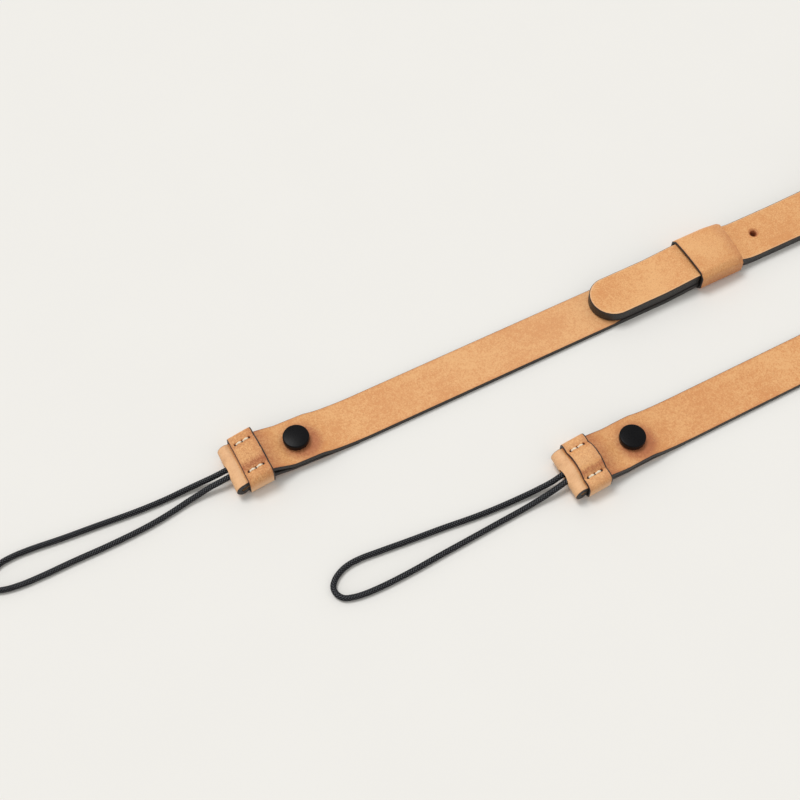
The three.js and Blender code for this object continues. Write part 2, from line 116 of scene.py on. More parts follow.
# Tints of the leather: above 0 darker, below 0 paler. Some stand for handling or stretching, and some are
# painted shade or painted light, as noted at each
# Painted shade: darkens the walls of the punched and stitch holes
PAINTED_SHADE_IN_HOLE = 2.0
TINT_HOLE_RIM = 0.4
# Painted shade: darkens the lower layer of the fold, which lies under the upper layer and on the table
PAINTED_SHADE_ON_FLAP = 0.2
TINT_FOLD = -0.6
# Painted shade on the end strap just behind its keeper
PAINTED_SHADE_BEHIND_KEEPER = 0.7
# Painted light: pales the keepers' sides, which face away from the key light
PAINTED_LIGHT_KEEPER_SIDE = -1.3
# Painted shade in the valleys beside the keepers' stitch lines
PAINTED_SHADE_VALLEY = 0.85
# Painted shade on the lower sides of the slide keepers
PAINTED_SHADE_SLIDE_SIDE = 0.6
TINT_SLIDE_END = 0.35
ON_BASE = 0.8
PARED = 0.6 * END_THICKNESS
ON_LOWER = ON_BASE + PARED + LAYER_GAP
END_REST = KEEPER_LIFT + KEEPER_WALL + CLEARANCE
ON_FLAP = END_REST + END_THICKNESS + LAYER_GAP
SLIDE_REST = SLIDE_WALL + SLIDE_GAP
NECK_IN_SLIDE = SLIDE_REST + END_THICKNESS + SLIDE_GAP

# Distance from the fold's tip, underside of the upper layer, shares of the gape and of the hump
UPPER_ROWS = (
    (FOLD_OUTER, FOLD_LIFT + END_THICKNESS + 2 * FOLD_INNER, 0.0, 0.3),
    (KEEPER_START, ON_FLAP, 0.6, 0.85),
    ((KEEPER_START + KEEPER_END) / 2, ON_FLAP + 0.1, 0.8, 1.0),
    (KEEPER_END, ON_FLAP + KEEPER_RISE, 1.0, 0.95),
    (18.7, ON_LOWER, 0.0, 0.0),
    (28.4, ON_LOWER, 0.0, 0.0),
    (FOLD_FLAP, 0.65 * END_THICKNESS, 0.0, 0.0),
    (FOLD_FLAP + 3, 0.35 * END_THICKNESS, 0.0, 0.0),
    (FOLD_FLAP + 8, 0.1 * END_THICKNESS, 0.0, 0.0),
    (FOLD_FLAP + 13, 0.0, 0.0, 0.0),
    (SLIDE_START - 12, 0.0, 0.0, 0.0),
    (SLIDE_START - 1, SLIDE_REST, 0.0, 0.0),
    (END_STRAP_END, SLIDE_REST, 0.0, 0.0),
)
# Underside and thickness of the lower layer
LOWER_ROWS = (
    (FOLD_OUTER, FOLD_LIFT, END_THICKNESS),
    (KEEPER_START, END_REST, END_THICKNESS),
    (KEEPER_END, END_REST + KEEPER_RISE, END_THICKNESS),
    (18.7, ON_BASE, PARED),
    (28.4, ON_BASE, PARED),
    (FOLD_FLAP, 0.1, 0.85),
    (FOLD_FLAP + 3, 0.04, 0.42),
    (FOLD_FLAP + 8, 0.0, 0.1),
    (FLAP_END, 0.0, 0.06),
)
NECK_ROWS = (
    (TONGUE_AT, END_THICKNESS + CLEARANCE),
    (SLIDE_START - 12, END_THICKNESS + CLEARANCE),
    (SLIDE_START - 1, NECK_IN_SLIDE),
    (END_STRAP_END + 0.5, NECK_IN_SLIDE),
    (SLIDE_END, NECK_IN_SLIDE - SLIDE_FALL),
    (SLIDE_END + 3, 0.1 * NECK_IN_SLIDE),
    (SLIDE_END + 6, 0.0),
)
# Roll of the neck strap in degrees
ROLL_ROWS = (
    (END_STRAP_END + 0.5, 0), (SLIDE_END, 2.5), (SLIDE_END + 5, 5), (SLIDE_END + 22, 5),
    (214, 8), (228, 15), (242, 27), (256, 43), (268, 58), (280, 71), (292, 82), (308, 90),
)

# Distance from the fold's tip, how far the end lies to the side of its leg, turn of its crosswise lines
# in degrees
SIDEWAYS = {
    "a": ((0, -0.1, -1.5), (4, 0.2, -1), (12, 0.7, 0.5), (18, 0.6, 0), (30, 0.15, 0), (42, 0, 0)),
    "b": (
        (0, -1.8, -2), (4, -1.5, -1.5), (12, -1.1, -0.5), (24, -0.5, 0), (39, -0.35, 0), (61, -0.2, 0),
        (95, 0, 0),
    ),
}
SIDEWAYS_EASE = 2.5  # length over which the corners of that table are rounded

# Routes of the cords: distance ahead of the fold's tip, distance from the leg's centre line, and height
# where the cord doesn't lie on the table
CORD_ROUTES = {
    "a": (
        (-2.3, 1, 3.3), (0, 0.95, 3.3), (2, 0.9, 3.1), (4.7, 1.05, 2.6), (7.3, 1.3, 2.1), (10, 1.55, 1.6),
        (14, 1.75, 1.1), (18, 1.7), (24, 1.8), (30, 2.15), (40, 3.1), (50, 3.95), (60, 5.05), (65, 5.25),
        (68.5, 4.9), (71.6, 3.8), (73.9, 2.1), (74.7, 0.1), (73.7, -1.8), (70.9, -3.3), (66, -4.2),
        (60, -4.45), (50, -4.35), (40, -4.45), (30, -4.2), (24, -3.7), (19, -3), (14, -2.15, 1.1),
        (10, -1.75, 1.6), (6, -1.55, 2.4), (3, -1.6, 2.95), (0, -1.55, 3.3), (-2.3, -1.5, 3.3),
    ),
    "b": (
        (-2.3, -0.6, 3.3), (0, -0.9, 3.3), (3.5, -1.15, 2.6), (8.8, -0.95, 1.7), (13.8, -0.65, 1.1),
        (20.8, -0.35), (28.8, 0.25), (38.8, 1.45), (48.8, 2.45), (58.8, 3.55), (63.8, 4.05), (67.8, 3.95),
        (70.8, 3.15), (73.4, 1.65), (75, -0.45), (75, -2.75), (73.7, -4.65), (71.2, -5.65), (67.8, -6.25),
        (61.8, -6.55), (52.8, -6.35), (42.8, -5.75), (32.8, -5.25), (22.8, -4.7), (15.8, -4.35, 1),
        (10.3, -4.1, 1.5), (5, -3.85, 2.45), (1.8, -3.55, 3.05), (0, -3.3, 3.3), (-2.3, -3, 3.3),
    ),
}


class End:
    """One end of the strap: where its fold's tip and its leg lie, and how its leather stands."""

    def __init__(self, name, side, stud, gape, hump):
        low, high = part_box("slide_keeper_" + name)
        self.name, self.side, self.stud, self.gape, self.hump = name, side, stud, gape, hump
        self.fold = low[0] / MM - SLIDE_START
        self.leg = (low[1] + high[1]) / 2 / MM

    def place(self, at, aside, height):
        leg = self.leg + eased(SIDEWAYS[self.name], at, 1, SIDEWAYS_EASE)
        turn = math.radians(eased(SIDEWAYS[self.name], at, 2, SIDEWAYS_EASE))
        return Vector((self.fold + at - aside * math.sin(turn), leg + aside * math.cos(turn), height))

    def rigid(self, at):
        """The place of a hard piece at that distance, turned with the strap."""
        turn = math.radians(between(SIDEWAYS[self.name], at, 2))
        aside = between(SIDEWAYS[self.name], at, 1)
        return Matrix.Translation((self.fold + at, self.leg + aside, 0)) @ Matrix.Rotation(turn, 4, "Z")

    def upper_under(self, at, aside):
        """Underside of the upper layer, which gapes at its near edge and lies close at its far edge."""
        reach = min(0.8, max(0.0, at - FOLD_OUTER))
        lean = (1 - aside / END_HALF) / 2
        return eased(UPPER_ROWS, at, 1, reach) + lean * self.gape * eased(UPPER_ROWS, at, 2, reach)

    def keeper_roof(self, at):
        """Inside of the end keeper's top, beside the hump."""
        return self.upper_under(at, -END_HALF) + END_THICKNESS + CLEARANCE

    def hump_at(self, at, aside):
        share = min(1.0, abs(aside) / HUMP_HALF)
        return self.hump * eased(UPPER_ROWS, at, 3, 0.8) * (1 - share * share)


ENDS = (
    End("a", side=1, stud=22.8, gape=1.4, hump=0.75),
    End("b", side=-1, stud=24.7, gape=0.0, hump=1.8),
)


# Heights along a strap

def between(rows, at, column=1):
    for before, after in zip(rows, rows[1:]):
        if at <= after[0]:
            share = max(0.0, (at - before[0]) / (after[0] - before[0]))
            return before[column] + (after[column] - before[column]) * share
    return rows[-1][column]


def eased(rows, at, column=1, reach=1.6):
    """The table's value with its corners rounded."""
    steps = (-1.0, -0.6, -0.2, 0.2, 0.6, 1.0)
    return sum(between(rows, at + reach * step, column) for step in steps) / len(steps)


def smooth(value):
    value = min(1.0, max(0.0, value))
    return value * value * (3 - 2 * value)


def both_sides(*places):
    """The places to both sides of a middle, with the middle."""
    return sorted({0, *places, *(-place for place in places)})


# Blanks: leather cut flat, along X from 0, with the flesh side at 0 and the grain side at its thickness

def cut_blank(length, width, thickness, arris, rounded=False):
    """A blank with rounded arrises, and with half-circle ends or slightly rounded corners."""
    bm = bmesh.new()
    bmesh.ops.create_grid(bm, x_segments=1, y_segments=1, size=0.5)
    bmesh.ops.scale(bm, vec=(length, width, 1), verts=bm.verts)
    bmesh.ops.translate(bm, vec=(length / 2, 0, 0), verts=bm.verts)
    radius, segments = (width / 2 * 0.999, 20) if rounded else (2 * arris, 4)
    for end in (0, length):
        corners = [v for v in bm.verts if abs(v.co.x - end) < 0.001]
        bmesh.ops.bevel(
            bm, geom=corners, offset=radius, offset_type="OFFSET", segments=segments, profile=0.5,
            affect="VERTICES", material=-1)
    raised = bmesh.ops.extrude_face_region(bm, geom=bm.faces[:])
    top = [g for g in raised["geom"] if isinstance(g, bmesh.types.BMVert)]
    bmesh.ops.translate(bm, vec=(0, 0, thickness), verts=top)
    bmesh.ops.recalc_face_normals(bm, faces=bm.faces[:])
    rim = [e for e in bm.edges if e.calc_face_angle(0) > 1]
    bmesh.ops.bevel(
        bm, geom=rim, offset=arris, offset_type="OFFSET", segments=3, profile=0.5,
        affect="EDGES", clamp_overlap=True, material=-1)
    return bm


def slice_across(bm, axis, places):
    """Cuts edge lines across the blank at the places along an axis."""
    normal = Vector((1, 0, 0)) if axis == "X" else Vector((0, 1, 0))
    for place in places:
        bmesh.ops.bisect_plane(
            bm, geom=bm.verts[:] + bm.edges[:] + bm.faces[:], dist=1e-5,
            plane_co=normal * place, plane_no=normal)


def rows_between(bm, start, end, step):
    """Divides the stretch between two lines across the blank into even rows."""
    count = max(1, round((end - start) / step))
    edges = []
    for edge in bm.edges:
        first, last = sorted(v.co.x for v in edge.verts)
        if abs(first - start) < 1e-3 and abs(last - end) < 1e-3:
            edges.append(edge)
    if count > 1:
        bmesh.ops.subdivide_edges(bm, edges=edges, cuts=count - 1, use_grid_fill=True)


def divide_rows(bm, stretches):
    """Stretches are (end of the stretch, row length), in order from the first stretch's start."""
    ends = [end for end, _ in stretches]
    slice_across(bm, "X", ends[:-1])
    for start, (end, step) in zip(ends, stretches[1:]):
        rows_between(bm, start, end, step)


def window(bm, centre, reach, height):
    """Opens a window in one side of the blank and gives the edges round it."""
    middles = [(face, face.calc_center_median()) for face in bm.faces]
    inside = [
        face for face, middle in middles
        if abs(middle.z - height) < 1e-3 and abs(middle.x - centre[0]) < reach[0]
        and abs(middle.y - centre[1]) < reach[1]
    ]
    gone = set(inside)
    edges = [e for e in bm.edges if sum(face in gone for face in e.link_faces) == 1]
    bmesh.ops.delete(bm, geom=inside, context="FACES")
    return edges


def punch(bm, centre, reach, levels, thickness, through=True, aside=0.0):
    """Punches a hole down from the grain side, this far aside of the window that it is made in.

    Levels are (radius along, radius across, height) of its rings.
    """
    loops = [window(bm, centre, reach, thickness)]
    bottom = window(bm, centre, reach, 0.0) if through else None
    count = len(loops[0])
    spread = thickness / (len(levels) + 1)
    rings = []
    for index, (along, across, height) in enumerate(levels):
        is_last = not through and index == len(levels) - 1
        matrix = Matrix.Translation((centre[0], centre[1] + aside, thickness - spread * (index + 1)))
        matrix = matrix @ Matrix.Diagonal((along, across, 1, 1))
        made = bmesh.ops.create_circle(bm, cap_ends=is_last, segments=count, radius=1, matrix=matrix)
        rings.append((made["verts"], height))
        loops.append(list(dict.fromkeys(e for v in made["verts"] for e in v.link_edges)))
    if through:
        loops.append(bottom)
    for first, second in zip(loops, loops[1:]):
        bmesh.ops.bridge_loops(bm, edges=first + second)
    for verts, height in rings:
        for vert in verts:
            vert.co.z = height


def bend_blank(bm, name, material, place, rim_distance, tint_at):
    """Stores the flat pattern on the vertices, bends the blank into place and makes it an object.

    The tint darkens the leather above 0 and pales it below 0, for handling or stretching in some places and
    as painted shade or painted light in others.
    """
    bmesh.ops.recalc_face_normals(bm, faces=bm.faces[:])
    flat = bm.verts.layers.float_vector.new("flat")
    rim = bm.verts.layers.float.new("rim")
    tint = bm.verts.layers.float.new("tint")
    for vert in bm.verts:
        vert[flat] = vert.co
        vert[rim] = rim_distance(vert.co)
        vert[tint] = tint_at(vert.co)
    for vert in bm.verts:
        vert.co = place(*vert.co)
    return finish_mesh(bm, name, material)


def finish_mesh(bm, name, material, sharp=40):
    bmesh.ops.scale(bm, vec=(MM, MM, MM), verts=bm.verts)
    mesh = bpy.data.meshes.new(name)
    bm.to_mesh(mesh)
    bm.free()
    mesh.shade_smooth()
    mesh.set_sharp_from_angle(angle=math.radians(sharp))
    mesh.materials.append(material)
    piece = add_object(bpy.context, name, mesh)
    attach(piece, "root")
    return piece


def add_object(context, name, data):
    made = bpy.data.objects.new(name, data)
    context.scene.collection.objects.link(made)
    return made


# Materials

class Nodes:
    """Adds nodes to one tree and links them."""

    def __init__(self, tree):
        self.tree = tree

    def put(self, value, socket):
        if isinstance(value, bpy.types.NodeSocket):
            self.tree.links.new(value, socket)
        else:
            socket.default_value = value

    def node(self, kind, inputs=None, **settings):
        node = self.tree.nodes.new(kind)
        for key, value in settings.items():
            setattr(node, key, value)
        for key, value in (inputs or {}).items():
            self.put(value, node.inputs[key])
        return node

    def calc(self, operation, *values):
        return self.node("ShaderNodeMath", dict(enumerate(values)), operation=operation).outputs[0]

    def mix(self, factor, *colours):
        """Mixes two colours, each a socket or the three numbers of a setting."""
        first, second = [c if isinstance(c, bpy.types.NodeSocket) else (*c, 1) for c in colours]
        return self.node("ShaderNodeMix", {0: factor, 6: first, 7: second}, data_type="RGBA").outputs[2]

    def ramp(self, value, low, high, start=0.0, end=1.0):
        """A value eased from start to end as it goes from low to high."""
        inputs = {0: value, 1: low, 2: high, 3: start, 4: end}
        return self.node("ShaderNodeMapRange", inputs, interpolation_type="SMOOTHSTEP").outputs[0]

    def noise(self, vector, scale, detail=3.0, roughness=0.5):
        inputs = {"Vector": vector, "Scale": scale, "Detail": detail, "Roughness": roughness}
        return self.node("ShaderNodeTexNoise", inputs).outputs["Fac"]

    def cells(self, vector, scale, randomness, feature):
        inputs = {"Vector": vector, "Scale": scale, "Randomness": randomness}
        return self.node("ShaderNodeTexVoronoi", inputs, feature=feature).outputs["Distance"]

    def attribute(self, name, output="Fac"):
        return self.node("ShaderNodeAttribute", attribute_name=name).outputs[output]

    def place(self):
        return self.node("ShaderNodeTexCoord").outputs["Object"]

    def group(self, name, build, inputs):
        """The outputs of a group, which is built the first time that it is asked for."""
        tree = bpy.data.node_groups.get(name) or build(name)
        return self.node("ShaderNodeGroup", inputs, node_tree=tree).outputs

    def finish(self, colour, roughness, specular=0.5, height=None, strength=0.0, distance=0.0):
        """Gives the shader its colour, its roughness and its relief."""
        shader = self.tree.nodes["Principled BSDF"]
        self.put(colour, shader.inputs["Base Color"])
        self.put(roughness, shader.inputs["Roughness"])
        self.put(specular, shader.inputs["Specular IOR Level"])
        if height is not None:
            inputs = {"Strength": strength, "Distance": distance, "Height": height}
            self.put(self.node("ShaderNodeBump", inputs).outputs["Normal"], shader.inputs["Normal"])


def new_group(name, inputs, outputs):
    """A shader node group: the adder of its nodes, and its sockets from inside."""
    tree = bpy.data.node_groups.new(name, "ShaderNodeTree")
    for way, names in (("INPUT", inputs), ("OUTPUT", outputs)):
        for socket in names:
            kind = "NodeSocketVector" if socket == "Pattern" else "NodeSocketFloat"
            tree.interface.new_socket(socket, in_out=way, socket_type=kind)
    return Nodes(tree), tree.nodes.new("NodeGroupInput").outputs, tree.nodes.new("NodeGroupOutput").inputs


def grain_group(name):
    """Hair cells, pores and soft mottling of smooth vegetable-tanned leather, in millimetres."""
    nodes, given, made = new_group(name, ("Pattern",), ("Mottle", "Pores", "Height"))
    pattern = given["Pattern"]
    speck = nodes.noise(pattern, 2.0, 3.0, 0.8)
    mottle = nodes.calc("MULTIPLY", nodes.noise(pattern, 0.07, 2.0), 0.25)
    mottle = nodes.calc("MULTIPLY_ADD", nodes.noise(pattern, 0.5, 4.0, 0.6), 0.2, mottle)
    mottle = nodes.calc("MULTIPLY_ADD", speck, 0.55, mottle)
    pores = nodes.ramp(nodes.cells(pattern, 1.1, 1.0, "F1"), 0.05, 0.24, 1.0, 0.0)
    creases = nodes.ramp(nodes.cells(pattern, 1.9, 0.95, "DISTANCE_TO_EDGE"), 0.0, 0.18)
    height = nodes.calc("MULTIPLY", creases, 0.4)
    height = nodes.calc("MULTIPLY_ADD", speck, 1.1, height)
    height = nodes.calc("MULTIPLY_ADD", pores, -0.5, height)
    for socket, value in (("Mottle", mottle), ("Pores", pores), ("Height", height)):
        nodes.put(value, made[socket])
    return nodes.tree


def edge_group(name):
    """Where the edge paint lies: on the rim, with a slightly uneven line on the faces."""
    nodes, given, made = new_group(name, ("Pattern", "Rim", "Reach"), ("Paint", "Burnish", "Crest"))
    wobble = nodes.calc("SUBTRACT", nodes.noise(given["Pattern"], 1.3, 2.0), 0.5)
    rim = nodes.calc("ADD", given["Rim"], nodes.calc("MULTIPLY", wobble, 0.12))
    rim = nodes.calc("SUBTRACT", rim, given["Reach"])
    # The crest: a band just inside the paint that carries a painted highlight
    crest = nodes.calc("MULTIPLY", nodes.ramp(rim, 0.0, 0.08), nodes.ramp(rim, 0.15, 0.45, 1.0, 0.0))
    nodes.put(nodes.ramp(rim, -0.04, 0.05, 1.0, 0.0), made["Paint"])
    nodes.put(nodes.ramp(rim, 0.0, 0.9, 1.0, 0.0), made["Burnish"])
    nodes.put(crest, made["Crest"])
    return nodes.tree


def material_called(name, build, context, **settings):
    """The material of that name, which is built the first time that it is asked for."""
    return bpy.data.materials.get(name) or build(name, context.scene.strap_look, **settings)


def new_material(name):
    material = bpy.data.materials.new(name)
    material.use_nodes = True
    return material, Nodes(material.node_tree)


def leather(name, look, paint_reach, crest=0.0, creased=0.0):
    """Tan grain side, brown flesh side and black painted edge, on the piece's flat pattern.

    The crest is the strength of a painted highlight just inside the paint, and creased is how wrinkled its
    grain is. Positive tints mix in painted shade as well as handling, negative ones painted light as well
    as stretching.
    """
    material, nodes = new_material(name)
    pattern = nodes.attribute("flat", "Vector")
    tint = nodes.attribute("tint")
    grain = nodes.group("Leather grain", grain_group, {"Pattern": pattern})
    edge_inputs = {"Pattern": pattern, "Rim": nodes.attribute("rim"), "Reach": paint_reach}
    edge = nodes.group("Edge paint", edge_group, edge_inputs)

    colour = nodes.mix(nodes.ramp(grain["Mottle"], 0.41, 0.59), look.tan_dark, look.tan_light)
    colour = nodes.mix(nodes.calc("MULTIPLY", grain["Pores"], 0.3), colour, look.pore)

    uneven = nodes.ramp(grain["Mottle"], 0.35, 0.65, 1.15, 0.75)
    # Handling and painted shade: positive tints, mixed towards the burnish colour
    handled_and_shaded = nodes.calc("MULTIPLY", nodes.calc("MAXIMUM", tint, 0.0), uneven)
    wrinkles = nodes.calc("SUBTRACT", nodes.noise(pattern, 0.9, 3.0, 0.6), 0.5)
    wrinkles = nodes.ramp(nodes.calc("ABSOLUTE", wrinkles), 0.0, 0.05, 1.0, 0.0)
    creasing = nodes.calc("MULTIPLY_ADD", nodes.calc("MINIMUM", handled_and_shaded, 1.0), 0.5, creased)
    wrinkles = nodes.calc("MULTIPLY", wrinkles, creasing)
    handled_and_shaded = nodes.calc("ADD", handled_and_shaded, nodes.calc("MULTIPLY", wrinkles, 0.8))
    burnish = nodes.calc("MULTIPLY_ADD", edge["Burnish"], 0.0 if crest else 0.3, handled_and_shaded)
    colour = nodes.mix(nodes.calc("MINIMUM", burnish, 1.0), colour, look.burnish)

    # Stretching and painted light: negative tints, with the painted highlight along the arris
    stretched_and_lit = nodes.calc("MULTIPLY", tint, -1.0)
    # Painted highlight along the arris
    arris_highlight = nodes.calc("MULTIPLY", edge["Crest"], crest)
    paled_and_lit = nodes.calc("MINIMUM", nodes.calc("MAXIMUM", stretched_and_lit, arris_highlight), 1.0)
    colour = nodes.mix(paled_and_lit, colour, look.pale_and_lit)

    depth = nodes.node("ShaderNodeSeparateXYZ", {0: pattern}).outputs["Z"]
    flesh = nodes.mix(nodes.noise(pattern, 5.0, 5.0, 0.7), look.flesh_dark, look.flesh_light)
    colour = nodes.mix(nodes.ramp(depth, 0.02, 0.12, 1.0, 0.0), colour, flesh)
    worn = nodes.ramp(nodes.noise(pattern, 4.0, 4.0, 0.6), 0.45, 0.75)
    colour = nodes.mix(edge["Paint"], colour, nodes.mix(worn, look.paint, look.paint_worn))

    rough = nodes.calc("ADD", nodes.calc("MULTIPLY", grain["Mottle"], 0.25), look.roughness - 0.12)
    rough = nodes.node("ShaderNodeMix", {0: edge["Paint"], 2: rough, 3: 0.38}).outputs[0]
    relief = nodes.calc("MULTIPLY_ADD", wrinkles, -2.0, grain["Height"])
    nodes.finish(colour, rough, 0.35, relief, strength=0.6, distance=0.00012)
    return material


def black_metal(name, look):
    material, nodes = new_material(name)
    place = nodes.place()
    fine = nodes.noise(place, 2500.0, 3.0, 0.6)
    colour = nodes.mix(nodes.noise(place, 260.0, 2.0), look.stud_dark, look.stud_light)
    rough = nodes.ramp(fine, 0.3, 0.7, look.stud_roughness - 0.05, look.stud_roughness + 0.07)
    nodes.finish(colour, rough, 0.09, fine, strength=0.12, distance=0.00003)
    return material


def braided_cord(name, look):
    """Black yarns: the braid's relief is in the mesh; its yarns' fibres and a painted highlight on their
    raised tops are here.
    """
    material, nodes = new_material(name)
    fibres = nodes.noise(nodes.place(), 6000.0, 3.0, 0.6)
    raised = nodes.ramp(nodes.attribute("raised"), 0.7, 0.98)
    # Painted highlight: the raised tops of the yarns are coloured lighter
    tone = nodes.calc("MULTIPLY", raised, nodes.ramp(fibres, 0.25, 0.6))
    colour = nodes.mix(tone, look.cord_dark, look.cord_highlight)
    nodes.finish(colour, 0.5, 0.12, fibres, strength=0.5, distance=0.00004)
    return material


def thread(name, look):
    material, nodes = new_material(name)
    fibres = nodes.noise(nodes.place(), 5000.0, 3.0, 0.6)
    colour = nodes.mix(fibres, look.thread_dark, look.thread_light)
    nodes.finish(colour, 0.6, height=fibres, strength=0.4, distance=0.00003)
    return material


# Settings

DISTANCE = {"subtype": "DISTANCE", "unit": "LENGTH"}
ANGLE = {"subtype": "ANGLE", "unit": "ROTATION"}


def number_prop(name, description, default, **settings):
    return FloatProperty(name=name, description=description, default=default, **settings)


def colour_prop(name, description, *default):
    return FloatVectorProperty(
        name=name, description=description, subtype="COLOR", size=3, min=0, max=1, default=default)


def tone_prop(tone, what, *default):
    return colour_prop(f"{tone} {what}", f"{tone}er tone of the {what}", *default)


class StrapSizes(bpy.types.PropertyGroup):
    row_length: number_prop("Row length", "Length of a row of faces, in mm", 1.3, min=0.5, max=4)
    arris: number_prop("Arris", "Width of the rounding on a strap's edges, in mm", 0.28, min=0.05, max=0.6)
    cord_diameter: number_prop(
        "Cord diameter", "Diameter of the cord loops", 0.0018, min=0.001, max=0.004, **DISTANCE)
    braid_pitch: number_prop(
        "Braid pitch", "Length in which a yarn goes once round the cord, in mm", 4.8, min=2, max=12)
    braid_yarns: IntProperty(
        name="Braid yarns", description="Yarns that wind each way round the cord", default=6, min=3, max=12)


class StrapLook(bpy.types.PropertyGroup):
    tan_light: tone_prop("Light", "grain side", 0.84, 0.458, 0.192)
    tan_dark: tone_prop("Dark", "grain side", 0.70, 0.307, 0.108)
    # Used for stretching at the fold, painted light on the keepers' sides and a painted highlight along the
    # arris
    pale_and_lit: colour_prop("Pale tan", "Leather paled by stretching or rubbing", 0.86, 0.53, 0.30)
    pore: colour_prop("Pores", "Colour of the pores", 0.38, 0.15, 0.05)
    # Used for real burnish and also for painted shade
    burnish: colour_prop("Burnish", "Leather darkened by handling and at its edges", 0.50, 0.175, 0.07)
    flesh_light: tone_prop("Light", "flesh side", 0.50, 0.29, 0.14)
    flesh_dark: tone_prop("Dark", "flesh side", 0.30, 0.16, 0.07)
    paint: colour_prop("Edge paint", "Paint on the cut edges", 0.018, 0.017, 0.017)
    paint_worn: colour_prop("Worn edge paint", "Edge paint where it is rubbed", 0.05, 0.04, 0.035)
    stud_dark: tone_prop("Dark", "studs", 0.004, 0.004, 0.0045)
    stud_light: tone_prop("Light", "studs", 0.007, 0.007, 0.008)
    cord_dark: tone_prop("Dark", "yarns", 0.004, 0.004, 0.005)
    # Painted highlight on the raised tops of the yarns
    cord_highlight: tone_prop("Light", "yarns", 0.14, 0.145, 0.16)
    thread_dark: tone_prop("Dark", "thread", 0.78, 0.66, 0.46)
    thread_light: tone_prop("Light", "thread", 0.95, 0.88, 0.72)
    roughness: number_prop("Leather roughness", "Roughness of the grain side", 0.55)
    stud_roughness: number_prop("Stud roughness", "Roughness of the studs", 0.3)


class StageSettings(bpy.types.PropertyGroup):
    floor: colour_prop("Floor", "Colour of the floor", 0.86, 0.85, 0.82)
    key_strength: number_prop("Key light", "Strength of the soft light", 1.46)
    key_angle: number_prop("Key size", "Angle that the soft light is seen under", math.radians(24), **ANGLE)
    fill: number_prop("Fill light", "Strength of the light from all round", 0.6)
    camera_elevation: number_prop(
        "Camera elevation", "Camera's height above the horizon", math.radians(58), **ANGLE)
    camera_heading: number_prop(
        "Camera heading", "Turn of the camera about the vertical", math.radians(-28.05), **ANGLE)
    camera_distance: number_prop(
        "Camera distance", "From the camera to the middle of its view", 0.41, **DISTANCE)
    camera_lens: number_prop(
        "Camera lens", "Focal length on a 36 mm wide sensor, in mm", 60, subtype="DISTANCE_CAMERA")
    camera_reach: number_prop(
        "View reach", "From the long leg's fold to the middle of the view, in mm", 57.8)
    camera_aside: number_prop(
        "View aside", "From the long leg's line to the middle of the view, in mm", 0.25)


# Operators

class ForEachEnd:
    """An operator that makes its pieces for one end after the other."""

    def execute(self, context):
        for end in ENDS:
            self.make(context, end)
        return {"FINISHED"}


class STRAP_OT_cord_loops(ForEachEnd, bpy.types.Operator):
    """Braid the two cord loops along their routes"""

    bl_idname = "strap.cord_loops"
    bl_label = "Cord loops"

    def make(self, context, end):
        sizes = context.scene.strap_sizes
        route = [
            Vector((end.fold - ahead, end.leg + aside, *(height or [CORD_LYING])))
            for ahead, aside, *height in CORD_ROUTES[end.name]
        ]
        path = even_path(route, CORD_STEP)
        piece = braid(end, path, sizes, material_called("black cord", braided_cord, context))
        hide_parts("cord_loop_" + end.name)
        length = sum((b - a).length for a, b in zip(path, path[1:])) * MM
        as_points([tuple(p * MM) for p in path[::12]] + [tuple(path[-1] * MM)])


def even_path(points, step):
    """Points a step apart on the smooth curve through the route."""
    fine = []
    route = [2 * points[0] - points[1]] + list(points) + [2 * points[-1] - points[-2]]
    for corners in zip(route, route[1:], route[2:], route[3:]):
        knots = [0.0]
        for first, second in zip(corners, corners[1:]):
            knots.append(knots[-1] + max(1e-6, math.sqrt((second - first).length)))
        for i in range(24):
            fine.append(curve_point(corners, knots, knots[1] + (knots[2] - knots[1]) * i / 24))
    fine.append(points[-1].copy())
    total = sum((b - a).length for a, b in zip(fine, fine[1:]))
    count = round(total / step)
    spaced = [fine[0].copy()]
    walked = 0.0
    for first, second in zip(fine, fine[1:]):
        length = (second - first).length
        while len(spaced) < count and walked + length >= total * len(spaced) / count:
            share = (total * len(spaced) / count - walked) / length
            spaced.append(first.lerp(second, share))
        walked += length
    spaced.append(fine[-1].copy())
    return spaced


def curve_point(corners, knots, t):
    """The point at t of the curve between the middle two corners: the corners are mixed in three levels."""
    for level in (zip(knots, knots[1:]), zip(knots, knots[2:]), zip(knots[1:], knots[2:])):
        corners = [
            (stop - t) / (stop - start) * first + (t - start) / (stop - start) * second
            for (start, stop), first, second in zip(level, corners, corners[1:])
        ]
    return corners[0]


def braid_height(angle, along, sizes):
    """Relief of two sets of yarns that wind opposite ways and pass over two and under two, from 0 to 1."""
    yarns = sizes.braid_yarns
    turn = along / sizes.braid_pitch
    right = (angle / (2 * math.pi) + turn) * yarns
    left = (angle / (2 * math.pi) - turn) * yarns
    over = math.cos(math.pi * (math.floor(right) + math.floor(left)) / 2 + math.pi / 4) > 0
    across = (right if over else left) % 1.0 - 0.5
    along_yarn = (left if over else right) % 1.0 - 0.5
    return (1 - 3.2 * across * across) * (1 - 0.9 * along_yarn * along_yarn)


